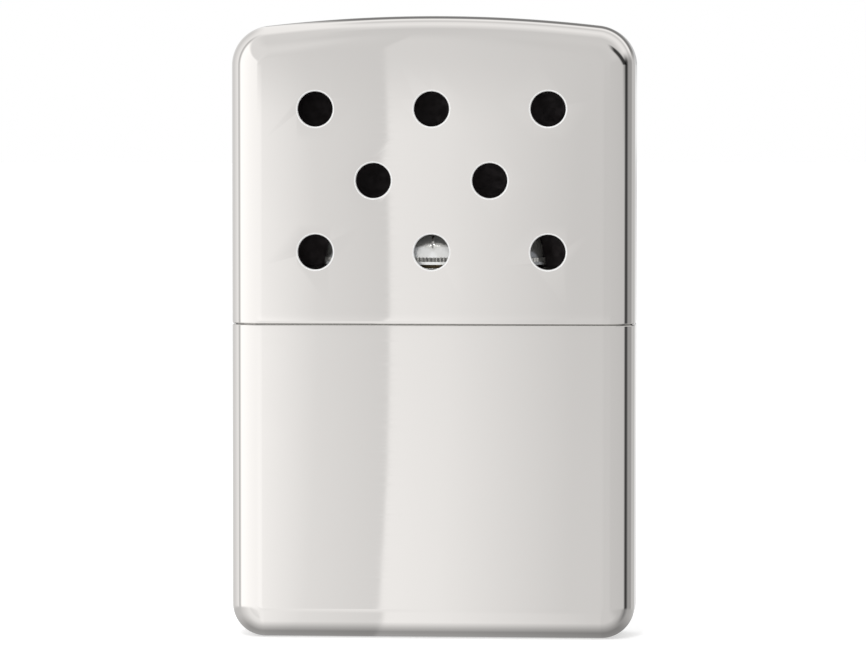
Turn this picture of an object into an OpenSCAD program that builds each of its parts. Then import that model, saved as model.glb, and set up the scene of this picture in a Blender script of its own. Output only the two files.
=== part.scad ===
// Catalytic hand warmer: a two-part pressed metal case that stands on its lower end.
// The tank below holds cotton wetted with fuel, the burner plugs onto the tank's mouth,
// and a vented lid slides down over both.
// X runs across the front, Y from the vented front to the plain back, Z up from the foot.

/* [Case] */
// Width of the case across the front
case_w = 50.8; // [46:0.2:64]
// Depth of the case from front to back
case_d = 12.7; // [12.2:0.1:16]
// Height of the closed case at the middle of its crowned top
case_h = 78.2; // [72:0.2:92]
// Height of the tank's rim, where the lid stops
tank_h = 39.5; // [36:0.1:42]
// Thickness of the pressed sheet of lid and tank
sheet_t = 0.5; // [0.4:0.05:0.7]
// Radius that rounds the long edges from face to side
edge_r = 3.2; // [2.6:0.1:4]
// Radius of the two corners at the foot, seen from the front
foot_corner_r = 4.2; // [4.1:0.1:8]
// Radius of the two corners at the crown, seen from the front
crown_corner_r = 5; // [4.2:0.1:9]
// Radius of the shallow arc along the crown
crown_r = 180; // [120:5:400]
// Gap between the lid's rim and the tank's rim
rim_gap = 0.12; // [0.05:0.01:0.3]

/* [Vents] */
// Radius of each vent in the lid
vent_r = 2.2; // [1.6:0.1:2.8]
// Distance between two vents of one row
vent_pitch_x = 14.6; // [12:0.1:16]
// Distance between two rows of vents
vent_pitch_z = 8.95; // [7:0.05:10]
// Height of the lowest row of vents above the tank's rim
vent_rise = 9.15; // [8.6:0.05:11]

/* [Collar] */
// How far the collar's deck stands above the tank's rim
collar_rise = 7.1; // [5.5:0.1:8]
// How deep the collar's skirt reaches down inside the tank
collar_depth = 6.5; // [4:0.1:10]
// Thickness of the collar's sheet
collar_t = 0.45; // [0.35:0.05:0.6]
// Clearance around the collar, inside lid and tank
collar_clearance = 0.12; // [0.1:0.01:0.16]
// Radius that rounds the edge of the deck
deck_edge_r = 0.7; // [0.5:0.05:0.9]
// Distance from the middle to each dimple that grips the lid
dimple_x = 17.5; // [10:0.5:18]
// How far a dimple stands proud of the collar
dimple_proud = 0.07; // [0.04:0.01:0.09]

/* [Mouth] */
// How far the mouth's neck stands above the deck
neck_rise = 3.25; // [2.6:0.05:3.4]
// Thickness of the neck's wall
neck_t = 0.42; // [0.3:0.02:0.5]
// Width of the flange that holds the neck under the deck
neck_flange_w = 1.1; // [0.8:0.1:1.4]
// Thickness of the neck's flange
neck_flange_t = 0.4; // [0.3:0.05:0.6]

/* [Burner] */
// Length of the burner across the front
burner_l = 27.6; // [26:0.2:29]
// Depth of the burner from front to back
burner_d = 8; // [7.8:0.1:8.8]
// Height of the gap between the burner's brim and the deck
brim_gap = 0.4; // [0.3:0.05:0.5]
// Thickness of the brim
brim_t = 0.35; // [0.3:0.05:0.45]
// How far the brim stands out from the cage
brim_w = 0.25; // [0.2:0.05:0.4]
// Thickness of the cage's sheet
cage_t = 0.4; // [0.3:0.05:0.45]
// Height of the cage's upright wall, above the brim
cage_wall_h = 0.65; // [0.5:0.05:0.8]
// Radius with which the cage's front and back lean in
cage_side_r = 6.8; // [6.4:0.1:9]
// Height of the leaning part, up to the flat top
cage_arch_h = 5.2; // [4.9:0.1:5.6]
// Height of the windows in the cage's front and back
window_h = 2; // [1.4:0.1:2.2]
// Length of each window
window_l = 4.2; // [3.2:0.1:4.6]
// Distance from one window to the next
window_pitch = 5.6; // [5.2:0.1:6]
// Height of the middle of the windows above the upright wall
window_rise = 3.3; // [3.2:0.05:3.5]
// Width of the slots in the cage's flat top
top_slot_w = 1.4; // [1:0.1:1.8]
// Width of the slit down the middle of the cage
slit_w = 0.26; // [0.2:0.02:0.4]
// Height of the slit's lower end above the upright wall
slit_rise = 1.1; // [0.8:0.05:1.4]
// Thickness of the skirt that grips the neck
skirt_t = 0.35; // [0.3:0.05:0.4]
// Clearance between skirt and neck
neck_clearance = 0.08; // [0.05:0.01:0.1]
// Thickness of the plate that lets the vapour up
plate_t = 0.35; // [0.25:0.05:0.4]
// Radius of each hole in that plate
plate_hole_r = 1.1; // [0.8:0.1:1.3]
// Distance between those holes
plate_hole_pitch = 2.9; // [2.8:0.1:3.1]
// Thickness of the wire gauze
gauze_t = 0.18; // [0.14:0.02:0.24]

/* [Filling] */
// Clearance around the cotton and the catalyst
soft_gap = 0.3; // [0.2:0.05:0.4]
// How far the wick pad stands above the deck, inside the neck
wick_rise = 1.6; // [0.8:0.1:2.2]

/* [Hidden] */
$fn = 96;

past = 1;          // how far a cutting shape runs past what it cuts
fit = 0.05;        // line-to-line clearance of two pieces that are pressed together
crown_fn = 256;    // steps to the full turn on the crown's long arc
vent_rows = [3, 2, 3];    // vents in each row, from the lowest row up
windows = 4;       // windows in each side of the cage
dimple_r = 2;      // radius of the ball that a dimple is a cap of

half_d = case_d / 2;

// centres of the plan's rounded edges
plan_x = case_w / 2 - edge_r;
plan_y = half_d - edge_r;

// the middle of the crown's arc, and of the corner that meets it
crown_z = case_h - crown_r;
crown_x = case_w / 2 - crown_corner_r;
crown_in_r = crown_r - crown_corner_r;
crown_turn = asin(crown_x / crown_in_r);
crown_corner_z = crown_z + crown_in_r * cos(crown_turn);
crown_corner_step = round(crown_corner_z);
crown_sweep = ceil(crown_turn) + 1;
foot_x = case_w / 2 - foot_corner_r;

lid_z = tank_h + rim_gap;
vent_z = tank_h + vent_rise;

collar_inset = sheet_t + collar_clearance;
collar_in_inset = collar_inset + collar_t;
deck_z = tank_h + collar_rise;
collar_low_z = tank_h - collar_depth;

// The burner and the neck share one pair of end centres, so their walls stay parallel.
end_x = (burner_l - burner_d) / 2;
cage_r = burner_d / 2;
brim_z = deck_z + brim_gap;
cage_z = brim_z + brim_t;
arch_z = cage_z + cage_wall_h;
cage_top_z = arch_z + cage_arch_h;
neck_top_z = deck_z + neck_rise;
plate_z = neck_top_z + fit;
plate_top_z = plate_z + plate_t;

// Skirt and plate are as wide as the leaning cage leaves room for, to a hundredth.
skirt_r = floor(100 * arch_half(plate_z, cage_t + fit)) / 100;
skirt_in_r = skirt_r - skirt_t;
neck_r = skirt_in_r - neck_clearance;
neck_in_r = neck_r - neck_t;
plate_r = floor(100 * arch_half(plate_top_z, cage_t + fit)) / 100;
plate_holes = floor(2 * end_x / plate_hole_pitch) + 1;

gauze_inset = cage_t + fit;
mat_inset = gauze_inset + gauze_t + fit;
flange_z = deck_z - collar_t - neck_flange_t;
batt_top_z = flange_z - soft_gap;

steel = [0.78, 0.78, 0.76];
dull_steel = [0.62, 0.62, 0.6];
brass = [0.72, 0.6, 0.36];
cotton = [0.93, 0.92, 0.88];
felt = [0.85, 0.83, 0.78];
fibre = [0.88, 0.88, 0.86];

// Half the cage's depth at height z, taken in by an inset.
function arch_half(z, inset) =
    let (lean_r = cage_side_r - inset, up = max(z - arch_z, 0))
    sqrt(lean_r * lean_r - up * up) - (cage_side_r - cage_r);

module quarter_disc(r) {
    intersection() {
        circle(r);
        square(r + past);
    }
}

module half_disc(r) {
    intersection() {
        circle(r);
        translate([0, -r - past]) square([r + past, 2 * (r + past)]);
    }
}

// A flat oval: a rectangle between two half discs whose centres are at -x and x.
module oval(x, r) {
    square([2 * x, 2 * r], center = true);
    for (side = [0, 1])
        mirror([side, 0]) translate([x, 0]) half_disc(r);
}

// The edge of the case cut square across, from start out to reach, half the depth to
// each side, with its two outer corners rounded by r.
module edge_section(start, reach, half, r) {
    translate([start, -half]) square([reach - r - start, 2 * half]);
    translate([reach - r, r - half]) square([r, 2 * (half - r)]);
    for (side = [0, 1])
        mirror([0, side]) translate([reach - r, half - r]) quarter_disc(r);
}

// Puts its children at the middle of the right-hand corner of the crown. The height is
// taken in a round step and a small one, so that no digit of it is lost.
module at_crown_corner() {
    translate([crown_x, 0, crown_corner_step]) translate([0, 0, crown_corner_z - crown_corner_step])
        children();
}

// All that lies beyond the plane where the crown's long arc meets the right-hand corner.
module beyond_crown() {
    at_crown_corner() rotate([0, crown_turn, 0])
        translate([0, -case_w / 2, -case_w / 2]) cube(case_w);
}

// The crowned half of the case as a solid, from height low up, taken in by an inset.
// A flat core laps under the edges that are swept round it.
module crown_solid(inset, low) {
    half = half_d - inset;
    reach = crown_corner_r - inset;
    r = edge_r - inset;
    lap = (reach - r) / 2;
    start = lap / 2;
    rotate([90, 0, 0]) linear_extrude(2 * half, center = true) intersection() {
        translate([-crown_x - lap, low]) square([2 * (crown_x + lap), case_h]);
        translate([0, crown_z]) circle(crown_in_r + lap, $fn = crown_fn);
    }
    for (side = [0, 1]) mirror([side, 0, 0]) {
        difference() {
            at_crown_corner() mirror([0, 0, 1]) linear_extrude(case_h)
                edge_section(start, reach, half, r);
            translate([0, -case_d, low - 2 * case_h]) cube([case_w, 2 * case_d, 2 * case_h]);
        }
        intersection() {
            at_crown_corner() rotate([90, 0, 0])
                rotate_extrude(angle = 90) edge_section(start, reach, half, r);
            beyond_crown();
        }
        difference() {
            translate([0, 0, crown_z]) rotate([90, 0, 0]) rotate([0, 0, 90])
                rotate_extrude(start = -crown_sweep, angle = crown_sweep, $fn = crown_fn)
                    translate([crown_in_r, 0]) edge_section(start, reach, half, r);
            beyond_crown();
        }
    }
}

// The footed half of the case as a solid, up to height high, taken in by an inset.
module foot_solid(inset, high) {
    half = half_d - inset;
    reach = foot_corner_r - inset;
    r = edge_r - inset;
    lap = (reach - r) / 2;
    start = lap / 2;
    translate([-foot_x - lap, -half, foot_corner_r - lap])
        cube([2 * (foot_x + lap), 2 * half, high - foot_corner_r + lap]);
    for (side = [0, 1]) mirror([side, 0, 0]) translate([foot_x, 0, foot_corner_r]) {
        linear_extrude(high - foot_corner_r) edge_section(start, reach, half, r);
        rotate([90, 0, 0]) rotate([0, 0, -90])
            rotate_extrude(angle = 90) edge_section(start, reach, half, r);
    }
    translate([-foot_x, 0, foot_corner_r]) rotate([0, 90, 0])
        linear_extrude(2 * foot_x) edge_section(start, reach, half, r);
}

// The plan of the case, taken in by an inset: the same for tank, lid and collar.
module case_plan(inset) {
    r = edge_r - inset;
    square([2 * plan_x, 2 * (plan_y + r)], center = true);
    square([2 * (plan_x + r), 2 * plan_y], center = true);
    for (side = [0, 1], back = [0, 1])
        mirror([side, 0]) mirror([0, back]) translate([plan_x, plan_y]) quarter_disc(r);
}

// The round edge of the deck: a layer deck_edge_r high on the collar's plan.
module deck_edge_layer() {
    flat_r = edge_r - collar_inset - deck_edge_r;
    translate([-plan_x, -plan_y - flat_r, 0]) cube([2 * plan_x, 2 * (plan_y + flat_r), deck_edge_r]);
    for (side = [0, 1]) {
        mirror([side, 0, 0]) translate([plan_x, 0, 0]) {
            translate([0, -plan_y, 0]) cube([flat_r, 2 * plan_y, deck_edge_r]);
            translate([flat_r, plan_y, 0]) rotate([90, 0, 0])
                linear_extrude(2 * plan_y) quarter_disc(deck_edge_r);
            for (back = [0, 1])
                mirror([0, back, 0]) translate([0, plan_y, 0]) rotate_extrude(angle = 90) {
                    square([flat_r, deck_edge_r]);
                    translate([flat_r, 0]) quarter_disc(deck_edge_r);
                }
        }
        mirror([0, side, 0]) translate([-plan_x, plan_y + flat_r, 0]) rotate([90, 0, 90])
            linear_extrude(2 * plan_x) quarter_disc(deck_edge_r);
    }
}

// Half of the cage's section, from its middle outwards, between two heights.
module arch_section(inset, low, high) {
    if (low < arch_z)
        translate([0, low]) square([cage_r - inset, arch_z - low]);
    intersection() {
        translate([cage_r - cage_side_r, arch_z]) circle(cage_side_r - inset);
        translate([0, max(low, arch_z)]) square([burner_d, high - max(low, arch_z)]);
    }
}

// The leaning oval form of the burner, taken in by an inset, between two heights.
module arch_solid(inset, low, high) {
    for (side = [0, 1]) {
        mirror([0, side, 0]) translate([-end_x, 0, 0]) rotate([90, 0, 90])
            linear_extrude(2 * end_x) arch_section(inset, low, high);
        mirror([side, 0, 0]) translate([end_x, 0, 0]) rotate([0, 0, -90])
            rotate_extrude(angle = 180) arch_section(inset, low, high);
    }
}

// The rows of vents, through the front only.
module vents() {
    for (row = [0:len(vent_rows) - 1], place = [0:vent_rows[row] - 1]) {
        x = (place - (vent_rows[row] - 1) / 2) * vent_pitch_x;
        translate([x, 0, vent_z + row * vent_pitch_z]) rotate([90, 0, 0])
            cylinder(r = vent_r, h = half_d + past);
    }
}

module lid_shell() {
    color(steel) difference() {
        crown_solid(0, lid_z);
        crown_solid(sheet_t, lid_z - past);
        vents();
    }
}

module tank_shell() {
    color(steel) difference() {
        foot_solid(0, tank_h);
        foot_solid(sheet_t, tank_h + past);
    }
}

// An inverted cup: its skirt is brazed inside the tank, its deck closes the tank,
// and the lid slides over the band between. Four dimples grip the lid.
module tank_collar() {
    band_h = deck_z - deck_edge_r - collar_low_z;
    color(dull_steel) difference() {
        union() {
            translate([0, 0, collar_low_z]) linear_extrude(band_h) case_plan(collar_inset);
            translate([0, 0, deck_z - deck_edge_r]) deck_edge_layer();
            for (side = [-1, 1], back = [0, 1])
                mirror([0, back, 0])
                    translate([side * dimple_x, half_d - collar_inset + dimple_proud - dimple_r,
                               tank_h + collar_rise / 2])
                        sphere(dimple_r);
        }
        translate([0, 0, collar_low_z - past])
            linear_extrude(band_h + deck_edge_r - collar_t + past) case_plan(collar_in_inset);
        translate([0, 0, deck_z - collar_t - past]) linear_extrude(collar_t + 2 * past)
            oval(end_x, neck_r + fit);
    }
}

// The filling mouth: an oval tube through the deck, held by a flange below it.
module mouth_neck() {
    color(brass) difference() {
        union() {
            translate([0, 0, flange_z]) linear_extrude(neck_top_z - flange_z) oval(end_x, neck_r);
            translate([0, 0, flange_z]) linear_extrude(neck_flange_t)
                oval(end_x, neck_r + neck_flange_w);
        }
        translate([0, 0, flange_z - past]) linear_extrude(neck_top_z - flange_z + 2 * past)
            oval(end_x, neck_in_r);
    }
}

// The cotton that soaks up the fuel: full width in the tank, and narrower inside the collar.
module cotton_batt() {
    step_z = collar_low_z - soft_gap;
    color(cotton) {
        foot_solid(sheet_t + soft_gap, step_z);
        translate([0, 0, step_z]) linear_extrude(batt_top_z - step_z)
            case_plan(collar_in_inset + soft_gap);
    }
}

module wick_pad() {
    color(felt) translate([0, 0, batt_top_z]) linear_extrude(deck_z + wick_rise - batt_top_z)
        oval(end_x, neck_in_r - soft_gap);
}

// An oval tube that slides over the neck, with a brim that carries the cage.
module burner_skirt() {
    color(steel) difference() {
        union() {
            translate([0, 0, brim_z]) linear_extrude(plate_z - brim_z) oval(end_x, skirt_r);
            translate([0, 0, brim_z]) linear_extrude(brim_t) oval(end_x, cage_r + brim_w);
        }
        translate([0, 0, brim_z - past]) linear_extrude(plate_z - brim_z + 2 * past)
            oval(end_x, skirt_in_r);
    }
}

module vapour_plate() {
    color(dull_steel) translate([0, 0, plate_z]) linear_extrude(plate_t) difference() {
        oval(end_x, plate_r);
        for (hole = [0:plate_holes - 1])
            translate([(hole - (plate_holes - 1) / 2) * plate_hole_pitch, 0]) circle(plate_hole_r);
    }
}

module catalyst_mat() {
    color(fibre) arch_solid(mat_inset, plate_top_z, cage_top_z - mat_inset);
}

// Wire gauze folded over the mat. Its weave is finer than the sheet is thick, so it is solid here.
module catalyst_gauze() {
    color(dull_steel) difference() {
        arch_solid(gauze_inset, plate_top_z, cage_top_z - gauze_inset);
        arch_solid(gauze_inset + gauze_t, plate_top_z - past, cage_top_z - gauze_inset - gauze_t);
    }
}

module burner_cage() {
    color(steel) difference() {
        arch_solid(0, cage_z, cage_top_z);
        arch_solid(cage_t, cage_z - past, cage_top_z - cage_t);
        for (window = [0:windows - 1]) {
            x = (window - (windows - 1) / 2) * window_pitch;
            translate([x, 0, arch_z + window_rise]) rotate([90, 0, 0])
                linear_extrude(burner_d + past, center = true)
                    oval((window_l - window_h) / 2, window_h / 2);
            translate([x, 0, cage_top_z - cage_t - past / 2]) linear_extrude(cage_t + past)
                oval((window_l - top_slot_w) / 2, top_slot_w / 2);
        }
        translate([-slit_w / 2, -burner_d / 2 - past, arch_z + slit_rise])
            cube([slit_w, burner_d / 2 + past - top_slot_w / 2, cage_arch_h - slit_rise - cage_t]);
    }
}

lid_shell();
tank_shell();
tank_collar();
mouth_neck();
cotton_batt();
wick_pad();
burner_skirt();
vapour_plate();
catalyst_mat();
catalyst_gauze();
burner_cage();
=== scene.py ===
"""Looks of a catalytic hand warmer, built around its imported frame.

Every size is in metres. +X is to the right of the vented front, +Y to the plain back and +Z up.
"""

import math

import bmesh
import bpy
from bpy.props import FloatProperty, FloatVectorProperty, PointerProperty
from bpy.types import Operator, Panel, PropertyGroup
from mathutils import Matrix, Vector, noise


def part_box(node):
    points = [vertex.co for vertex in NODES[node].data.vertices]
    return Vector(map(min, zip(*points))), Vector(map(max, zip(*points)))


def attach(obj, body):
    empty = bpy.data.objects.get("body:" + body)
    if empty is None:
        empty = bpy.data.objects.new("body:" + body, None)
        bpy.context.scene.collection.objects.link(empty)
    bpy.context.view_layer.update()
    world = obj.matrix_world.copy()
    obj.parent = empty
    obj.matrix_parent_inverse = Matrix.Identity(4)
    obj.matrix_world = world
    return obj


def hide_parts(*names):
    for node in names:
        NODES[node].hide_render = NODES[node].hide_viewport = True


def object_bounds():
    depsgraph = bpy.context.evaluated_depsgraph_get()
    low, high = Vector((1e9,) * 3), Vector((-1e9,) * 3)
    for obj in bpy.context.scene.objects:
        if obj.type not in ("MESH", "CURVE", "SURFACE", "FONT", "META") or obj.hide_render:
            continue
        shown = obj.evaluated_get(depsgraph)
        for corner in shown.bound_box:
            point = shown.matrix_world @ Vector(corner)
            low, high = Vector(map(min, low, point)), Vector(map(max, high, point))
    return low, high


bl_info = {
    "name": "Catalytic Hand Warmer",
    "version": (1, 0, 0),
    "blender": (4, 5, 0),
    "location": "View3D > Sidebar > Hand Warmer",
    "description": "Models the finish of a pocket hand warmer round its frame",
    "category": "Object",
}

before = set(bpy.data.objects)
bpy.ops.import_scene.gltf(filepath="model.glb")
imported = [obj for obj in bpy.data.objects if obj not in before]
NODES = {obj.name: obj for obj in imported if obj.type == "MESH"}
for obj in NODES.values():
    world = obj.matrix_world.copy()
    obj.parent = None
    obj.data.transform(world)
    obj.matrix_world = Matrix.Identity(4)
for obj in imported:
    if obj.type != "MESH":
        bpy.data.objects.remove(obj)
CAD_LOW, CAD_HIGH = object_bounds()
LID_LOW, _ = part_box("lid_shell")
_, TANK_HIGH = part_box("tank_shell")
CAGE_LOW, CAGE_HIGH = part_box("burner_cage")
GAUZE_LOW, GAUZE_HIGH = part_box("catalyst_gauze")

NICKEL_NODES = ("burner_cage", "burner_skirt")

MM = 0.001
QUARTER = math.radians(90)
HALF_TURN = math.radians(180)
# Vertices closer than this are one, or than the finer length where a cut must stay sharp.
WELD = 0.001 * MM
FINE_WELD = 0.0001 * MM
# The burner's front and back lean in above this height, on arcs of this radius.
LEAN_Z = CAGE_LOW.z + 0.65 * MM
LEAN_R = 6.8 * MM
IMAGE_WIDTH = 866
IMAGE_HEIGHT = 650
SENSOR_WIDTH = 36.0
# What the camera looks at, in the middle of the picture.
AIM = Vector((-0.26 * MM, 0, 39.25 * MM))
LAMP_DISTANCE = 0.9
FLOOR_RADIUS = 6.0
FLOOR_DROP = 0.02 * MM


# ---------------------------------------------------------------- settings


def length(name, description, default, low, high):
    """A length that a user would change, in metres."""
    return FloatProperty(
        name=name,
        description=description,
        default=default,
        min=low,
        max=high,
        subtype="DISTANCE",
        unit="LENGTH",
        precision=5,
    )


def colour(name, description, code):
    """A colour that a user would change, from its sRGB hex code."""
    return FloatVectorProperty(
        name=name,
        description=description,
        default=linear(code),
        min=0.0,
        max=1.0,
        size=3,
        subtype="COLOR",
    )


def linear(code):
    """The linear colour of an sRGB hex code such as 'c8c8c4'."""
    parts = [int(code[i : i + 2], 16) / 255 for i in (0, 2, 4)]
    return tuple(c / 12.92 if c <= 0.04045 else ((c + 0.055) / 1.055) ** 2.4 for c in parts)


class WarmerCaseSettings(PropertyGroup):
    """Sizes of the pressed case."""

    edge: length("Edge radius", "Rounding from face to side", 3.2 * MM, 1 * MM, 4 * MM)
    foot_corner: length("Foot corner", "Corner radius at the foot", 4.2 * MM, 3 * MM, 8 * MM)
    crown_corner: length("Crown corner", "Corner radius at the crown", 5 * MM, 3 * MM, 9 * MM)
    crown: length("Crown radius", "Radius of the arc along the crown", 180 * MM, 100 * MM, 400 * MM)
    blend: length("Edge blend", "Run of the rounding into the flat", 0.9 * MM, 0.3 * MM, 0.99 * MM)
    sheet: length("Sheet", "Thickness of the pressed sheet", 0.5 * MM, 0.3 * MM, 0.8 * MM)
    pillow: length("Pillow", "How far the faces swell in the middle", 0.085 * MM, 0, 0.2 * MM)
    rim_round: length("Rim rounding", "Rounding of lid's and tank's rims", 0.14 * MM, 0, 0.2 * MM)
    vent: length("Vent radius", "Radius of each vent", 2.2 * MM, 1 * MM, 3 * MM)
    vent_lip: length("Vent lip", "Rounding of each vent's outer edge", 0.2 * MM, 0, 0.3 * MM)
    vent_pitch_x: length("Vent pitch", "From vent to vent in a row", 14.6 * MM, 10 * MM, 20 * MM)
    vent_pitch_z: length("Row pitch", "From row to row", 8.95 * MM, 6 * MM, 12 * MM)
    vent_rise: length("Vent rise", "Lowest row above the tank's rim", 9.15 * MM, 6 * MM, 12 * MM)


class WarmerFinishSettings(PropertyGroup):
    """Colours of the finishes."""

    chrome: colour("Chrome", "Chrome plate on the case", "e8e5e2")
    # Near-white: a painted highlight that shows each vent's lip as a bright ring.
    edge: colour("Edge", "Burnished edges of the vents", "f8f7f5")
    # Partly the unplated sheet's own dull tone, partly painted shade: set dark so the inside seen
    # through the vents stays dark.
    inside: colour("Inside", "Unpolished sheet inside the case", "4f4a4b")
    nickel: colour("Nickel", "Bright plate on the burner", "d9d8d4")
    steel: colour("Steel", "Brushed steel of the collar", "b4b3ae")
    # Darker than fresh brass: partly the tube's own tone, partly painted shade that keeps the gap
    # under the burner's brim dark.
    brass: colour("Brass", "Brass of the filling mouth", "4a4030")
    gauze: colour("Gauze", "Heat-tinted wire", "6d6a66")
    fibre: colour("Fibre", "Catalyst's glass fibre", "dcdad4")
    cotton: colour("Cotton", "Cotton filling", "f2efe6")
    felt: colour("Felt", "Wick pad", "dcd5c6")


class WarmerBurnerSettings(PropertyGroup):
    """Sizes of the burner's trim and gauze."""

    teeth: length("Tooth pitch", "From one tooth of the band to the next", 0.45 * MM, 0.3 * MM, MM)
    tooth: length("Tooth height", "How far the teeth stand out", 0.17 * MM, 0.05 * MM, 0.2 * MM)
    weave: length("Weave pitch", "From wire to wire of the gauze", 0.55 * MM, 0.3 * MM, MM)
    wire: length("Wire", "Thickness of the gauze's wire", 0.13 * MM, 0.05 * MM, 0.2 * MM)


class WarmerStudioSettings(PropertyGroup):
    """Where the photograph's camera stands."""

    azimuth: FloatProperty(
        name="Azimuth",
        description="Camera's turn to the right",
        default=math.radians(4.2),
        unit="ROTATION",
    )
    elevation: FloatProperty(
        name="Elevation", description="Camera's rise", default=math.radians(2.5), unit="ROTATION"
    )
    lens: FloatProperty(name="Lens", description="Focal length in mm", default=200.0, min=50.0)
    view_height: length("View height", "Height in the picture", 82.25 * MM, 50 * MM, 200 * MM)


# ---------------------------------------------------------------- node helper


def add(tree, kind, links=None, **settings):
    """Adds a node with its settings. links maps an input's name or number to a value, a socket,
    or a node whose first output feeds it."""
    node = tree.nodes.new(kind)
    for key, value in settings.items():
        setattr(node, key, value)
    for key, value in (links or {}).items():
        if isinstance(value, bpy.types.Node):
            value = value.outputs[0]
        if isinstance(value, bpy.types.NodeSocket):
            tree.links.new(value, node.inputs[key])
        else:
            node.inputs[key].default_value = value
    return node


def new_material(name):
    """An empty node material with its output, its surface shader and its object coordinates."""
    material = bpy.data.materials.new(name)
    material.use_nodes = True
    tree = material.node_tree
    tree.nodes.clear()
    shader = add(tree, "ShaderNodeBsdfPrincipled")
    add(tree, "ShaderNodeOutputMaterial", {"Surface": shader})
    place = add(tree, "ShaderNodeTexCoord").outputs["Object"]
    return material, tree, shader, place


def rgba(values):
    return (*values, 1.0)


def per_metre(size):
    """A texture's scale for features of this size, in metres."""
    return 1.0 / size


# ---------------------------------------------------------------- materials


# The middle of a noise pattern, where nearly all its values lie.
NOISE_MIDDLE = {"From Min": 0.3, "From Max": 0.7}


def chrome_plate(colour_value):
    """Decorative chrome over polished steel: mirror bright, faintly wavy from the press and the
    polishing mop, with hair-fine level polishing lines."""
    material, tree, shader, place = new_material("chrome_plate")
    shader.inputs["Metallic"].default_value = 1.0
    shader.inputs["Base Color"].default_value = rgba(colour_value)
    # The press leaves waves about 9 mm long and under a micron high.
    waves = add(
        tree,
        "ShaderNodeTexNoise",
        {"Vector": place, "Scale": per_metre(9 * MM), "Detail": 2.0, "Roughness": 0.4},
    )
    press = add(
        tree,
        "ShaderNodeBump",
        {"Height": waves.outputs["Fac"], "Strength": 1.0, "Distance": 0.0008 * MM},
    )
    # Polishing lines run level; they are drawn 0.25 mm apart so that they show at all.
    along = add(tree, "ShaderNodeMapping", {"Vector": place, "Scale": (0.03, 0.03, 1.0)})
    lines = add(
        tree,
        "ShaderNodeTexNoise",
        {
            "Vector": along,
            "Scale": per_metre(0.25 * MM),
            "Detail": 3.0,
            "Roughness": 0.7,
        },
    )
    mop = add(
        tree,
        "ShaderNodeBump",
        {
            "Height": lines.outputs["Fac"],
            "Strength": 1.0,
            "Distance": 0.00003 * MM,
            "Normal": press,
        },
    )
    haze = add(
        tree,
        "ShaderNodeMapRange",
        {"Value": lines.outputs["Fac"], **NOISE_MIDDLE, "To Min": 0.01, "To Max": 0.026},
    )
    tree.links.new(mop.outputs[0], shader.inputs["Normal"])
    tree.links.new(haze.outputs[0], shader.inputs["Roughness"])
    return material


def worked_metal(name, colour_value, roughness, grain, depth, stretch=(1, 1, 1), metallic=1.0):
    """A metal whose surface has a grain of this size and depth, in metres. Below 1.0, metallic
    lets a scuffed or sooty surface scatter some light too."""
    material, tree, shader, place = new_material(name)
    shader.inputs["Metallic"].default_value = metallic
    along = add(tree, "ShaderNodeMapping", {"Vector": place, "Scale": stretch})
    grains = add(
        tree,
        "ShaderNodeTexNoise",
        {"Vector": along, "Scale": per_metre(grain), "Detail": 4.0, "Roughness": 0.6},
    ).outputs["Fac"]
    tone = add(
        tree,
        "ShaderNodeMix",
        {
            "Factor": grains,
            "A": rgba([c * 0.86 for c in colour_value]),
            "B": rgba([min(c * 1.1, 1.0) for c in colour_value]),
        },
        data_type="RGBA",
    )
    low, high = roughness * 0.75, roughness * 1.25
    rough = add(
        tree, "ShaderNodeMapRange", {"Value": grains, **NOISE_MIDDLE, "To Min": low, "To Max": high}
    )
    bump = add(tree, "ShaderNodeBump", {"Height": grains, "Strength": 1.0, "Distance": depth})
    tree.links.new(tone.outputs["Result"], shader.inputs["Base Color"])
    tree.links.new(rough.outputs[0], shader.inputs["Roughness"])
    tree.links.new(bump.outputs[0], shader.inputs["Normal"])
    return material


def painted_shade_inside(colour_value):
    """Unplated steel inside the case: dull, and dark as painted shade for the vents' dark inside.
    """
    return worked_metal("raw_steel_painted_shade_inside", colour_value, 0.5, 0.8 * MM, 0.002 * MM)


def vent_edge_painted_highlight(colour_value):
    """Plated edge of a punched hole: near-white and mostly matte, a painted highlight for the glint
    on each vent's lip.
    """
    return worked_metal(
        "chrome_edge_painted_highlight", colour_value, 0.4, 0.3 * MM, 0.001 * MM, metallic=0.1
    )


def bright_nickel(colour_value):
    """Bright nickel over thin stamped sheet: shiny, with small dents from forming. A film of soot
    scatters some light."""
    return worked_metal("bright_nickel", colour_value, 0.17, 0.2 * MM, 0.009 * MM, metallic=0.65)


def brushed_steel(colour_value):
    """Stainless sheet with a fine level brushing."""
    return worked_metal(
        "brushed_steel", colour_value, 0.24, 0.12 * MM, 0.0006 * MM, (0.04, 0.04, 1.0)
    )


def drawn_brass(colour_value):
    """Drawn brass tube: satin, with upright draw lines."""
    return worked_metal("drawn_brass", colour_value, 0.28, 0.1 * MM, 0.0006 * MM, (1.0, 1.0, 0.05))


def tinted_wire(colour_value):
    """Steel wire that heat has turned grey."""
    return worked_metal("heat_tinted_wire", colour_value, 0.42, 0.15 * MM, 0.001 * MM)


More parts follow.
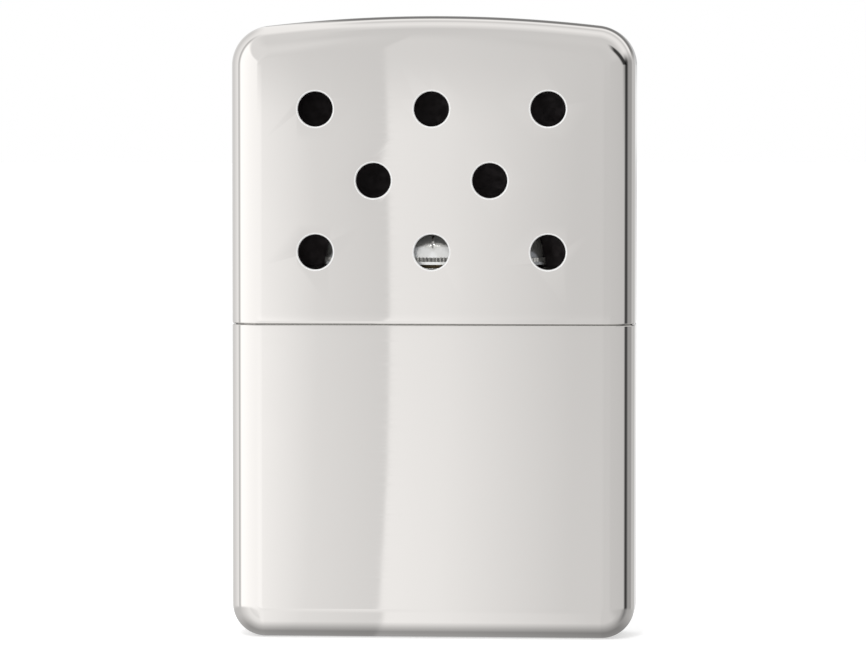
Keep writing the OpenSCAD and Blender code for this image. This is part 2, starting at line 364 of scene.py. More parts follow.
def fibre_wool(name, colour_value, strand, depth):
    """Loose fibres: pale, matte and fuzzy, with strands of this spacing, in metres."""
    material, tree, shader, place = new_material(name)
    strands = add(
        tree,
        "ShaderNodeTexNoise",
        {
            "Vector": place,
            "Scale": per_metre(strand),
            "Detail": 6.0,
            "Roughness": 0.75,
            "Distortion": 2.2,
        },
    )
    tufts = add(tree, "ShaderNodeTexVoronoi", {"Vector": place, "Scale": per_metre(strand * 4)})
    tone = add(
        tree,
        "ShaderNodeMix",
        {
            "Factor": strands.outputs["Fac"],
            "A": rgba([c * 0.72 for c in colour_value]),
            "B": rgba(colour_value),
        },
        data_type="RGBA",
    )
    height = add(
        tree,
        "ShaderNodeMath",
        {0: tufts.outputs["Distance"], 1: 0.5, 2: strands.outputs["Fac"]},
        operation="MULTIPLY_ADD",
    )
    bump = add(
        tree,
        "ShaderNodeBump",
        {"Height": height, "Strength": 1.0, "Distance": depth},
    )
    tree.links.new(tone.outputs["Result"], shader.inputs["Base Color"])
    tree.links.new(bump.outputs[0], shader.inputs["Normal"])
    shader.inputs["Roughness"].default_value = 0.95
    shader.inputs["Sheen Weight"].default_value = 0.35
    shader.inputs["Sheen Roughness"].default_value = 0.5
    return material


# ---------------------------------------------------------------- mesh helpers


def new_piece(name, bm, body, materials):
    """Makes the mesh a piece of the object that rides on a body."""
    mesh = bpy.data.meshes.new(name)
    bm.to_mesh(mesh)
    bm.free()
    piece = bpy.data.objects.new(name, mesh)
    bpy.context.scene.collection.objects.link(piece)
    for material in materials:
        mesh.materials.append(material)
    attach(piece, body)
    return piece


def finish_node(node, material):
    """Gives a CAD node its material."""
    mesh = NODES[node].data
    mesh.materials.clear()
    mesh.materials.append(material)


def verts_of(geom):
    """The vertices among what a bmesh operator made."""
    return [g for g in geom if isinstance(g, bmesh.types.BMVert)]


def edges_of(geom):
    """The edges among what a bmesh operator made."""
    return [g for g in geom if isinstance(g, bmesh.types.BMEdge)]


def round_edges(bm, edges, width, segments, clamp):
    """Bevels edges to round arcs."""
    bmesh.ops.bevel(
        bm,
        geom=edges,
        offset=width,
        offset_type="OFFSET",
        affect="EDGES",
        segments=segments,
        profile=0.5,
        material=-1,
        clamp_overlap=clamp,
        loop_slide=True,
    )


def spin_vert(bm, vert, centre, angle, steps, axis=(0, -1, 0)):
    """Carries a vertex round a centre, leaving an arc. By default it turns from +X to +Z."""
    made = bmesh.ops.spin(
        bm, geom=[vert], cent=centre, axis=axis, angle=angle, steps=steps, use_merge=False
    )
    return verts_of(made["geom_last"])[0]


def draw_to(bm, vert, place):
    """A straight edge from a vertex to a place."""
    made = bmesh.ops.extrude_vert_indiv(bm, verts=[vert])
    made["verts"][0].co = place
    return made["verts"][0]


def with_modifier_applied(piece):
    """Replaces the piece's mesh by what its modifiers make of it."""
    evaluated = piece.evaluated_get(bpy.context.evaluated_depsgraph_get())
    mesh = bpy.data.meshes.new_from_object(evaluated)
    piece.modifiers.clear()
    piece.data = mesh
    return mesh


# ---------------------------------------------------------------- case


# The sheet rolls in a little towards its rims, more on the lid than on the tank.
RIM_ROLL = 1.6 * MM
LID_TILT = math.radians(4)
TANK_TILT = math.radians(1)
# Segments of the rounding, of a corner's arc and of the crown's.
EDGE_STEPS = 14
CORNER_STEPS = 18
CROWN_STEPS = 40
# Cuts let the faces swell: from the middle to each side, and from foot to crown.
CUTS_ACROSS = 6
CUTS_UP = 15
VENT_STEPS = 64
LIP_STEPS = 5
RIM_STEPS = 4
BLEND_STEPS = 3
# An edge is sharp past this angle, in radians.
SHARP = 1.0
# How far a vent's punch stands in front of the face, and how far it goes in.
PUNCH_AHEAD = 1 * MM
PUNCH_DEPTH = 3 * MM


class CaseForm:
    """The case as a formula: a flat core plate with an even rounding all round it."""

    def __init__(self, s):
        self.half_w = (CAD_HIGH.x - CAD_LOW.x) / 2
        self.half_d = (CAD_HIGH.y - CAD_LOW.y) / 2
        self.height = CAD_HIGH.z - CAD_LOW.z
        self.edge = s.edge
        self.blend = s.blend
        self.sheet = s.sheet
        self.pillow = s.pillow
        self.foot = s.foot_corner
        self.foot_x = self.half_w - self.foot
        self.corner = s.crown_corner
        self.corner_x = self.half_w - self.corner
        self.crown = s.crown
        self.crown_z = self.height - self.crown
        self.turn = math.asin(self.corner_x / (self.crown - self.corner))
        self.corner_z = self.crown_z + (self.crown - self.corner) * math.cos(self.turn)

    def side_way(self, x, z):
        """Outward direction in the front plane, and how far the place lies outside the core."""
        right = abs(x)
        sign = math.copysign(1.0, x)
        if z > self.corner_z:
            from_corner = Vector((right - self.corner_x, z - self.corner_z))
            if from_corner.x > 0 and math.atan2(from_corner.x, from_corner.y) > self.turn:
                reach = from_corner.length
                way = (sign * from_corner.x / reach, from_corner.y / reach)
                return way, reach - (self.corner - self.edge)
        if z < self.foot and right > self.foot_x:
            from_foot = Vector((right - self.foot_x, z - self.foot))
            reach = from_foot.length
            way = (sign * from_foot.x / reach, from_foot.y / reach)
            return way, reach - (self.foot - self.edge)
        from_crown = Vector((x, z - self.crown_z))
        gaps = {
            (sign, 0.0): right - (self.half_w - self.edge),
            (0.0, -1.0): self.edge - z,
            tuple(from_crown / from_crown.length): from_crown.length - (self.crown - self.edge),
        }
        return max(gaps.items(), key=lambda item: item[1])

    def outward(self, place):
        """Outward normal at a place, and its distance from the core plate."""
        way, out = self.side_way(place.x, place.z)
        flat = self.half_d - self.edge
        across = place.y - max(-flat, min(flat, place.y))
        out = max(out, 0.0)
        offset = Vector((way[0] * out, across, way[1] * out))
        return offset.normalized(), offset.length

    def shown_normal(self, place, rim_z, rim_tilt):
        """Normal of the outside, with its blend, its swelling and the slight roll at its rim."""
        way, out = self.side_way(place.x, place.z)
        flat = self.half_d - self.edge
        turn = self.roll(self.edge - out) if abs(place.y) > flat else QUARTER
        forward = math.copysign(math.cos(turn), place.y)
        normal = Vector((way[0] * math.sin(turn), forward, way[1] * math.sin(turn)))
        from_rim = abs(place.z - rim_z) / RIM_ROLL
        tilt = self.swell(place.x, place.z)[1] * abs(forward)
        tilt.z += rim_tilt * max(1 - from_rim, 0.0) ** 2
        return (normal + tilt).normalized()

    def roll(self, inset):
        """Angle that the outside has turned to the side, this far in from the outline."""
        run = self.edge + self.blend - inset
        if run <= 0:
            return 0.0
        if run >= 2 * self.blend:
            return math.asin(min(1.0, 1 - inset / self.edge))
        return math.asin(self.blend / self.edge) * (run / (2 * self.blend)) ** 2

    def sink(self, inset):
        """How far the blend lowers the face under a plain rounding, this far in."""
        inset = max(inset, self.edge - self.blend)
        run = max(self.edge + self.blend - inset, 0.0)
        across = max(self.edge - inset, 0.0)
        plain = self.edge - math.sqrt(self.edge**2 - across**2)
        return math.asin(self.blend / self.edge) * run**3 / (12 * self.blend**2) - plain

    def swell(self, x, z):
        """How far the faces swell at a place, and the tilt that this gives their normals."""
        u = x / self.half_w
        v = 2 * z / self.height - 1
        rise = self.pillow * (1 - u * u) * (1 - v * v / 2)
        tilt_x = 2 * self.pillow * u * (1 - v * v / 2) / self.half_w
        tilt_z = self.pillow * v * (1 - u * u) * 2 / self.height
        return rise, Vector((tilt_x, 0.0, tilt_z))


def case_block(form):
    """The closed case as one solid block with rounded edges."""
    bm = bmesh.new()
    front = -form.half_d
    right_foot = Vector((form.foot_x, front, form.foot))
    left_foot = Vector((-form.foot_x, front, form.foot))
    right_crown = Vector((form.corner_x, front, form.corner_z))
    left_crown = Vector((-form.corner_x, front, form.corner_z))
    vert = bm.verts.new((form.half_w, front, form.foot))
    vert = draw_to(bm, vert, (form.half_w, front, form.corner_z))
    vert = spin_vert(bm, vert, right_crown, QUARTER - form.turn, CORNER_STEPS)
    vert = spin_vert(bm, vert, (0, front, form.crown_z), 2 * form.turn, CROWN_STEPS)
    vert = spin_vert(bm, vert, left_crown, QUARTER - form.turn, CORNER_STEPS)
    vert = draw_to(bm, vert, (-form.half_w, front, form.foot))
    vert = spin_vert(bm, vert, left_foot, QUARTER, CORNER_STEPS)
    vert = draw_to(bm, vert, (form.foot_x, front, 0))
    spin_vert(bm, vert, right_foot, QUARTER, CORNER_STEPS)
    bmesh.ops.remove_doubles(bm, verts=bm.verts, dist=WELD)
    face = bmesh.ops.contextual_create(bm, geom=bm.edges)["faces"]
    side = bmesh.ops.extrude_face_region(bm, geom=face)["geom"]
    bmesh.ops.translate(bm, verts=verts_of(side), vec=(0, 2 * form.half_d, 0))
    bmesh.ops.recalc_face_normals(bm, faces=bm.faces)
    border = [e for e in bm.edges if abs(e.verts[0].co.y - e.verts[1].co.y) < WELD]
    round_edges(bm, border, form.edge, EDGE_STEPS, False)
    flat = [f for f in bm.faces if abs(f.normal.y) > 0.999]
    caps = [f for f in flat if f.calc_area() > 0.5 * form.half_w**2]
    step = form.blend / BLEND_STEPS
    for _ in range(BLEND_STEPS):
        bmesh.ops.inset_region(bm, faces=caps, thickness=step, use_even_offset=True)
    for step in range(1 - CUTS_ACROSS, CUTS_ACROSS):
        cut_across(bm, (step * form.half_w / CUTS_ACROSS, 0, 0), (1, 0, 0))
    for step in range(1, CUTS_UP):
        cut_across(bm, (0, 0, step * form.height / CUTS_UP), (0, 0, 1))
    return bm


def cut_across(bm, place, normal, clear_inner=False, clear_outer=False):
    """Cuts the mesh along a plane."""
    bmesh.ops.bisect_plane(
        bm,
        geom=bm.verts[:] + bm.edges[:] + bm.faces[:],
        dist=FINE_WELD,
        plane_co=place,
        plane_no=normal,
        clear_inner=clear_inner,
        clear_outer=clear_outer,
    )


def case_shell(form, rim_z, up):
    """The half of the case above or below its rim, as pressed sheet."""
    bm = case_block(form)
    for share in (1, 0.8, 0.6, 0.4, 0.2):
        cut_across(bm, (0, 0, rim_z + (share if up else -share) * RIM_ROLL), (0, 0, 1))
    cut_across(bm, (0, 0, rim_z), (0, 0, 1), clear_inner=up, clear_outer=not up)
    bmesh.ops.recalc_face_normals(bm, faces=bm.faces)
    bmesh.ops.solidify(bm, geom=bm.faces[:], thickness=form.sheet)
    middle = form.edge - form.sheet / 2
    for vert in bm.verts:
        way, depth = form.outward(vert.co)
        target = form.edge if depth > middle else form.edge - form.sheet
        at_rim = abs(vert.co.z - rim_z) < form.sheet / 2
        vert.co += way * (target - depth)
        if at_rim:
            vert.co.z = rim_z
    return bm


def vent_places(s):
    """Middle of each vent in the front plane."""
    rows = ((-1, 0, 1), (-0.5, 0.5), (-1, 0, 1))
    low = TANK_HIGH.z + s.vent_rise
    return [
        (step * s.vent_pitch_x, low + row * s.vent_pitch_z)
        for row, steps in enumerate(rows)
        for step in steps
    ]


def vent_punches(form, s):
    """The punches that cut the vents, each flared where it meets the front."""
    bm = bmesh.new()
    face_y = -form.half_d
    for x, z in vent_places(s):
        axis = Vector((x, 0, z))
        wide, start_y, end_y = s.vent + s.vent_lip, face_y - PUNCH_AHEAD, face_y + PUNCH_DEPTH
        verts = [bm.verts.new(axis + Vector((0, start_y, 0)))]
        edges = []
        places = [(wide, start_y), (wide, face_y)]
        for step in range(1, LIP_STEPS + 1):
            angle = QUARTER * step / LIP_STEPS
            places.append(
                (
                    s.vent + s.vent_lip * (1 - math.sin(angle)),
                    face_y + s.vent_lip * (1 - math.cos(angle)),
                )
            )
        places += [(s.vent, end_y), (0, end_y)]
        for across, y in places:
            verts.append(bm.verts.new(axis + Vector((across, y, 0))))
            edges.append(bm.edges.new(verts[-2:]))
        bmesh.ops.spin(
            bm,
            geom=verts + edges,
            cent=axis,
            axis=(0, 1, 0),
            angle=2 * HALF_TURN,
            steps=VENT_STEPS,
            use_merge=True,
        )
    bmesh.ops.remove_doubles(bm, verts=bm.verts, dist=WELD)
    bmesh.ops.recalc_face_normals(bm, faces=bm.faces)
    return bm


def punch_vents(piece, form, s):
    """Cuts the vents out of the lid."""
    mesh = bpy.data.meshes.new("vent_punches")
    bm = vent_punches(form, s)
    bm.to_mesh(mesh)
    bm.free()
    punches = bpy.data.objects.new("vent_punches", mesh)
    bpy.context.scene.collection.objects.link(punches)
    cut = piece.modifiers.new("vents", "BOOLEAN")
    cut.operation = "DIFFERENCE"
    cut.solver = "EXACT"
    cut.object = punches
    bpy.context.view_layer.update()
    with_modifier_applied(piece)
    bpy.data.objects.remove(punches)


def round_rim(piece, rim_z, width):
    """Takes the sharp edges off the rim."""
    bm = bmesh.new()
    bm.from_mesh(piece.data)
    rim = []
    for edge in bm.edges:
        if all(abs(v.co.z - rim_z) < WELD for v in edge.verts):
            if len(edge.link_faces) == 2 and edge.calc_face_angle(0) > SHARP:
                rim.append(edge)
    round_edges(bm, rim, width, RIM_STEPS, True)
    bm.to_mesh(piece.data)
    bm.free()


def rim_normal(form, place, way, depth, rim_z, up, width):
    """Normal on the rim's own small rounding."""
    outer = depth > form.edge - form.sheet / 2
    centre = form.edge - width if outer else form.edge - form.sheet + width
    centre_z = rim_z + width if up else rim_z - width
    return (way * (depth - centre) + Vector((0, 0, place.z - centre_z))).normalized()


def vent_normal(place, vent, s, face_y):
    """Normal on a vent's lip or wall."""
    across = Vector((place.x - vent[0], 0, place.z - vent[1]))
    reach = across.length
    across /= reach
    deep = place.y - (face_y + s.vent_lip)
    if deep > 0:
        return -across
    return (across * (reach - s.vent - s.vent_lip) + Vector((0, deep, 0))).normalized()


def true_normals(piece, form, s, rim_z, up, vents):
    """Sets each corner's normal from the case's formula, swells the faces, and gives the inner
    faces the second material and the vents' edges the third."""
    mesh = piece.data
    face_y = -form.half_d
    width = s.rim_round
    vent_reach = s.vent + s.vent_lip * 1.01
    normals = [None] * len(mesh.loops)
    for face in mesh.polygons:
        face.use_smooth = True
        middle = face.center
        way, depth = form.outward(middle)
        outer = depth > form.edge - form.sheet / 2
        corners = [mesh.vertices[index].co for index in face.vertices]
        inside = (v for v in vents if all(math.dist((c.x, c.z), v) < vent_reach for c in corners))
        vent = next(inside, None)
        in_vent = vent is not None and middle.y < 0
        flat_rim = abs(middle.z - rim_z) < WELD / 2
        in_rim = abs(middle.z - rim_z) < width
        face.material_index = 2 if in_vent else 0 if outer or in_rim else 1
        for corner in face.loop_indices:
            place = mesh.vertices[mesh.loops[corner].vertex_index].co
            way, depth = form.outward(place)
            if flat_rim:
                normal = Vector((0, 0, -1 if up else 1))
            elif in_rim:
                normal = rim_normal(form, place, way, depth, rim_z, up, width)
            elif in_vent:
                normal = vent_normal(place, vent, s, face_y)
            elif outer:
                normal = form.shown_normal(place, rim_z, -LID_TILT if up else TANK_TILT)
            else:
                normal = -way
            normals[corner] = normal
    for vert in mesh.vertices:
        way, _ = form.outward(vert.co)
        rise = form.swell(vert.co.x, vert.co.z)[0] * way.y * way.y
        sink = form.sink(form.edge - form.side_way(vert.co.x, vert.co.z)[1])
        share = min(abs(vert.co.y) / (form.half_d - form.edge), 1.0)
        vert.co.y += math.copysign(rise - sink * share, vert.co.y)
    mesh.normals_split_custom_set(normals)


class WARMER_OT_case(Operator):
    """Models the polished lid and tank"""

    bl_idname = "warmer.case"
    bl_label = "Case"

    def execute(self, context):
        s = context.scene.warmer_case
        finish = context.scene.warmer_finish
        form = CaseForm(s)
        plate = chrome_plate(finish.chrome)
        materials = [plate, painted_shade_inside(finish.inside), vent_edge_painted_highlight(finish.edge)]
        shell = case_shell(form, LID_LOW.z, True)
        lid = new_piece("polished_lid", shell, "lid", materials)
        punch_vents(lid, form, s)
        round_rim(lid, LID_LOW.z, s.rim_round)
        true_normals(lid, form, s, LID_LOW.z, True, vent_places(s))
        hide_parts("lid_shell")
        shell = case_shell(form, TANK_HIGH.z, False)
        tank = new_piece("polished_tank", shell, "tank", materials)
        round_rim(tank, TANK_HIGH.z, s.rim_round)
        true_normals(tank, form, s, TANK_HIGH.z, False, [])
        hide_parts("tank_shell")
        return {"FINISHED"}


# ---------------------------------------------------------------- inner pieces


def wool(name, node, body, material, voxel, tuft, depth):
    """A soft filling with the form of its CAD solid: a closed, lumpy skin that never stands
    outside that solid. tuft is the size of its lumps and depth how far they go in."""
    bm = bmesh.new()
    bm.from_mesh(NODES[node].data)
    bmesh.ops.remove_doubles(bm, verts=bm.verts, dist=WELD)
    piece = new_piece(name, bm, body, [material])
    skin = piece.modifiers.new("skin", "REMESH")
    skin.mode = "VOXEL"
    skin.voxel_size = voxel
    with_modifier_applied(piece)
    bm = bmesh.new()
    bm.from_mesh(piece.data)
    for _ in range(3):
        bmesh.ops.smooth_vert(
            bm, verts=bm.verts, factor=0.5, use_axis_x=True, use_axis_y=True, use_axis_z=True
        )
    bm.normal_update()
    for vert in bm.verts:
        lump = noise.noise(vert.co / tuft) + 0.5 * noise.noise(vert.co / tuft * 2.7)
        vert.co -= vert.normal * depth * min(max(0.5 - 0.6 * lump, 0.0), 1.2)
    for face in bm.faces:
        face.smooth = True
    bm.to_mesh(piece.data)
    bm.free()
    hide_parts(node)
    return piece


# The toothed band starts this far above the cage's foot, and stands this high with its lip.
BAND_LIFT = 0.01 * MM
BAND_HEIGHT = 0.6 * MM
BAND_LIP = 0.1 * MM
# Its inside lies this far in from the cage's outside, and its teeth's roots this far out.
BAND_SINK = 0.05 * MM
TOOTH_ROOT = 0.02 * MM


def crimped_band(s):
    """The toothed band that joins the burner's cage to its brim: an oval ring whose outer
    side is folded into upright teeth."""
    reach = (CAGE_HIGH.y - CAGE_LOW.y) / 2
    end_x = CAGE_HIGH.x - reach
    low, high = CAGE_LOW.z + BAND_LIFT, CAGE_LOW.z + BAND_HEIGHT
    around_end = 2 * round(math.pi * reach / s.teeth)
    along_side = 2 * round(2 * end_x / s.teeth) - 1
    bm = bmesh.new()
    up = (0, 0, 1)
    vert = bm.verts.new((end_x, -reach, low))
    vert = spin_vert(bm, vert, (end_x, 0, low), HALF_TURN, around_end, up)
    vert = draw_to(bm, vert, (-end_x, reach, low))
    vert = spin_vert(bm, vert, (-end_x, 0, low), HALF_TURN, around_end, up)
    draw_to(bm, vert, (end_x, -reach, low))
    bmesh.ops.remove_doubles(bm, verts=bm.verts, dist=WELD)
    sides = [e for e in bm.edges if e.calc_length() > end_x]
    bmesh.ops.subdivide_edges(bm, edges=sides, cuts=along_side)
    first = bm.edges[:]
    place_round(bm.verts, end_x, reach, s.tooth)
    loop = first
    for z, fold in ((high - BAND_LIP, True), (high, False), (low, False)):
        made = bmesh.ops.extrude_edge_only(bm, edges=loop)["geom"]
        verts, loop = verts_of(made), edges_of(made)
        for vert in verts:
            vert.co.z = z
        if not fold:
            flatten_round(verts, end_x, reach - BAND_SINK)
    bmesh.ops.bridge_loops(bm, edges=loop + first)
    bmesh.ops.remove_doubles(bm, verts=bm.verts, dist=FINE_WELD)
    bmesh.ops.recalc_face_normals(bm, faces=bm.faces)
    return bm


def oval_place(vert, end_x, reach):
    """Where a vertex of an oval loop stands when it is this far from the oval's spine."""
    middle = Vector((max(-end_x, min(end_x, vert.co.x)), 0, vert.co.z))
    return middle + (vert.co - middle).normalized() * reach


def place_round(verts, end_x, reach, tooth):
    """Puts every other vertex of an oval loop on the tips of its teeth."""
    start = next(iter(verts))
    edge, vert, out = start.link_edges[0], start, True
    for _ in range(len(verts)):
        vert.co = oval_place(vert, end_x, reach + (tooth if out else TOOTH_ROOT))
        out = not out
        vert = edge.other_vert(vert)
        edge = next(e for e in vert.link_edges if e is not edge)


def flatten_round(verts, end_x, reach):
    """Puts the vertices of a loop on a plain oval."""
    for vert in verts:
        vert.co = oval_place(vert, end_x, reach)


def woven_gauze(s):
    """Wire gauze folded over the catalyst: an arched skin cut into meshes, then made wire."""
    reach = (GAUZE_HIGH.y - GAUZE_LOW.y) / 2 - s.wire / 2
    end_x = GAUZE_HIGH.x - reach - s.wire / 2
    top = GAUZE_HIGH.z - s.wire / 2
    bm = bmesh.new()
    # The front leans back along an arc about a line behind the middle, like the cage over it.
    lean = LEAN_R - (CAGE_HIGH.y - CAGE_LOW.y) / 2
    start_z = GAUZE_LOW.z + s.wire / 2
    radius = math.hypot(reach + lean, start_z - LEAN_Z)
    turn = math.asin((top - LEAN_Z) / radius) - math.asin((start_z - LEAN_Z) / radius)
    vert = bm.verts.new((end_x, -reach, start_z))
    up_steps = round(radius * turn / s.weave)
    vert = spin_vert(bm, vert, (end_x, lean, LEAN_Z), -turn, up_steps, (1, 0, 0))
    flat = -vert.co.y
    over_steps = round(flat / s.weave)
    for step in range(1, over_steps + 1):
        vert = draw_to(bm, vert, (end_x, -flat * (1 - step / over_steps), vert.co.z))
    end_steps = round(math.pi * reach / s.weave)
    side_steps = round(2 * end_x / s.weave)
    loop = bm.edges[:]
    for sign in (1, -1):
        made = bmesh.ops.spin(
            bm,
            geom=loop,
            cent=(sign * end_x, 0, 0),
            axis=(0, 0, 1),
            angle=HALF_TURN,
            steps=end_steps,
            use_merge=False,
        )
        loop = edges_of(made["geom_last"])
        step = -sign * 2 * end_x / side_steps
        for _ in range(side_steps):
            made = bmesh.ops.extrude_edge_only(bm, edges=loop)["geom"]
            loop = [e for e in edges_of(made) if e.is_boundary]
            loop = [e for e in loop if all(v in made for v in e.verts)]
            bmesh.ops.translate(bm, verts=verts_of(made), vec=(step, 0, 0))
    bmesh.ops.remove_doubles(bm, verts=bm.verts, dist=0.01 * MM)
    bmesh.ops.recalc_face_normals(bm, faces=bm.faces)
    bmesh.ops.wireframe(
        bm,
        faces=bm.faces[:],
        thickness=s.wire,
        offset=0.0,
        use_replace=True,
        use_boundary=True,
        use_even_offset=False,
    )
    return bm


class WARMER_OT_collar(Operator):
    """Finishes the collar, the filling mouth and what the tank holds"""

    bl_idname = "warmer.collar"
    bl_label = "Collar, mouth and filling"

    def execute(self, context):
        finish = context.scene.warmer_finish
        finish_node("tank_collar", brushed_steel(finish.steel))
        # The brass is dark partly as painted shade in the gap under the burner's brim.
        finish_node("mouth_neck", drawn_brass(finish.brass))
        cotton = fibre_wool("cotton_wool", finish.cotton, 0.5 * MM, 0.12 * MM)
        filling = wool(
            "cotton_filling",
            "cotton_batt",
            "tank",
            cotton,
            voxel=0.8 * MM,
            tuft=6 * MM,
            depth=0.5 * MM,
        )
        felt = fibre_wool("pressed_wool_felt", finish.felt, 0.25 * MM, 0.04 * MM)
        pad = wool(
            "felt_wick",
            "wick_pad",
            "tank",
            felt,
            voxel=0.35 * MM,
            tuft=2.2 * MM,
            depth=0.12 * MM,
        )
        return {"FINISHED"}


class WARMER_OT_burner(Operator):
    """Finishes the burner, with its toothed band, its gauze and its catalyst"""

    bl_idname = "warmer.burner"
    bl_label = "Burner"

    def execute(self, context):
        s = context.scene.warmer_burner
        finish = context.scene.warmer_finish
        nickel = bright_nickel(finish.nickel)
        wire = tinted_wire(finish.gauze)
        for node in NICKEL_NODES:
            finish_node(node, nickel)
        finish_node("vapour_plate", wire)
        new_piece("crimped_band", crimped_band(s), "burner", [nickel])
        gauze = new_piece("woven_gauze", woven_gauze(s), "burner", [wire])
        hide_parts("catalyst_gauze")
        fibre = fibre_wool("catalyst_glass_fibre", finish.fibre, 0.2 * MM, 0.05 * MM)
        mat = wool(
            "catalyst_wool",
            "catalyst_mat",
            "burner",
            fibre,
            voxel=0.3 * MM,
            tuft=1.6 * MM,
            depth=0.25 * MM,
        )
        light_burner()
        return {"FINISHED"}


# ---------------------------------------------------------------- studio


def tone_light(tone):
    """The light that bright plate shows as this grey, from 0 to 255, or above it for a lamp."""
    return ((tone / 255 + 0.055) / 1.055) ** 2.4 / 0.8


def strip(tree, value, stops):
    """Light along a strip of the room, from pairs of angle and light."""
    low, high = stops[0][0], stops[-1][0]
    along = add(
        tree,
        "ShaderNodeMapRange",
        {"Value": value, "From Min": low, "From Max": high, "To Min": 0.0, "To Max": 1.0},
    )
    ramp = add(tree, "ShaderNodeValToRGB", {"Fac": along})
    elements = ramp.color_ramp.elements
    elements.remove(elements[1])
    for number, (angle, light) in enumerate(stops):
        place = (angle - low) / (high - low)
        element = elements[0] if number == 0 else elements.new(place)
        element.position = place
        element.color = (light, light, light, 1.0)
    return ramp.outputs["Color"]


# The room is laid out as a few plain panels, walls and gaps, each a round grey at round
# angles in degrees off the front. LEVEL runs to the left and right.
LEVEL = (
    (-180, 220),  # back wall
    (-130, 200),
    (-95, 230),
    (-86, 170),  # gap before the left panel
    (-75, 260),  # left panel
    (-10, 245),
    (0, 195),  # grey front of the room
    (70, 190),
    (78, 60),  # black flag on the right
    (86, 60),
    (96, 150),  # side wall in its shade
    (116, 150),
    (126, 190),
    (150, 180),
    (180, 220),
)
# Lower down the room is plainer, so a case seen from above shows even greys.
LOWER = (
    (-180, 200),
    (-150, 180),
    (-90, 190),
    (-40, 230),
    (-32, 220),
    (-10, 235),
    (0, 195),
    (60, 180),
    (80, 120),
    (96, 160),
    (150, 180),
    (180, 200),
)
# The flat faces mirror the front: the left panel's soft edge, then a second panel's sharp one.
FACE = (
    (-8, 245),
    (-7, 240),
    (-6, 215),
    (-4.9, 205),
    (-4.85, 230),
    (-4, 225),
    (-2, 200),
    (0, 195),
)
# Overhead are two pale strips, and a dark ceiling behind them.
OVER = (
    (0, 205),
    (60, 200),
    (85, 230),
    (96, 225),
    (106, 200),
    (122, 245),
    (132, 120),
    (150, 120),
    (180, 180),
)
OVER_LEFT = ((0, 205), (75, 210), (90, 235), (180, 240))
# Under the foot the table takes the room's light away; these are shares of it.
FALL = ((0, 1.0), (45, 1.0), (75, 0.6), (100, 0.35), (160, 0.4), (180, 0.8))
# A dark flag stands high on the right; its edge lies in a plane with this normal.
FLAG = (-0.12, -0.65, -0.75)
FLAG_SHIFT = -0.04
# Where its shade starts and is full, off that plane, and the share of the light that it takes.
FLAG_EDGE = (0.19, 0.06)
FLAG_SHADE = 0.93
# Towards the table the panels' edges bow away from this angle.
BOW_MIDDLE = -5.7


def greys(stops):
    """The stops with light in place of greys."""
    return [(angle, tone_light(tone)) for angle, tone in stops]


def grey(tone):
    """A colour that bright plate shows as this grey."""
    return rgba([tone_light(tone)] * 3)


def degrees_of(tree, operation, *values):
    """An angle in degrees, by an inverse function of one or two values."""
    turn = add(tree, "ShaderNodeMath", dict(enumerate(values)), operation=operation)
    return add(tree, "ShaderNodeMath", {0: turn}, operation="DEGREES")


def within(tree, *edges, full=1.0):
    """Rises from 0 to its full value inside soft edges. Each edge is a value, with where the rise
    starts and where it ends."""
    for value, start, end in edges:
        step = add(
            tree,
            "ShaderNodeMapRange",
            {"Value": value, "From Min": start, "From Max": end},
            interpolation_type="SMOOTHSTEP",
        )
        full = add(tree, "ShaderNodeMath", {0: full, 1: step}, operation="MULTIPLY")
    return full


def laid_over(tree, under, over, *edges, full=1.0):
    """One light laid over another inside soft edges."""
    share = within(tree, *edges, full=full)
    mix = add(tree, "ShaderNodeMix", {"Factor": share, "A": under, "B": over}, data_type="RGBA")
    return mix.outputs["Result"]


def room_light(tree, way):
    """The room's light in a direction. Bright plate sees panels and the dark gaps between them,
    which is what gives polished metal its bands."""
    axes = add(tree, "ShaderNodeSeparateXYZ", {0: way}).outputs
    # All in degrees: to the side, upwards, off the front, and off it with the side's sign.
    side = degrees_of(tree, "ARCSINE", axes["X"])
    rise = degrees_of(tree, "ARCSINE", axes["Z"])
    ahead = add(tree, "ShaderNodeMath", {0: axes["Y"], 1: -1.0}, operation="MULTIPLY")
    off = degrees_of(tree, "ARCCOSINE", ahead)
    sign = add(tree, "ShaderNodeMath", {0: axes["X"]}, operation="SIGN")
    turned = add(tree, "ShaderNodeMath", {0: off, 1: sign}, operation="MULTIPLY")
    # How steeply the way from the front climbs or falls.
    across = add(tree, "ShaderNodeMath", {0: axes["X"]}, operation="ABSOLUTE")
    climb = degrees_of(tree, "ARCTAN2", axes["Z"], across)
    steep = add(tree, "ShaderNodeMath", {0: climb}, operation="ABSOLUTE")

    lower = strip(tree, turned, greys(LOWER))
    level = laid_over(tree, strip(tree, turned, greys(LEVEL)), lower, (rise, -7.5, -14.0))
    lift = within(tree, (rise, -1.0, -6.5), full=0.06)
    lift = add(tree, "ShaderNodeMath", {0: 1.0, 1: lift}, operation="ADD")
    front = front_light(tree, side, rise, lift)
    level = laid_over(tree, front, level, (off, 7.5, 11.0))
    low = low_light(tree, side, off, steep, lift, front, level)
    left = left_light(tree, off, steep, front, level)
    right = right_light(tree, way, side, rise, off, steep, front, level)
    high = laid_over(tree, left, right, (side, -10.0, -7.0))
    return laid_over(tree, low, high, (rise, -3.0, 0.5))


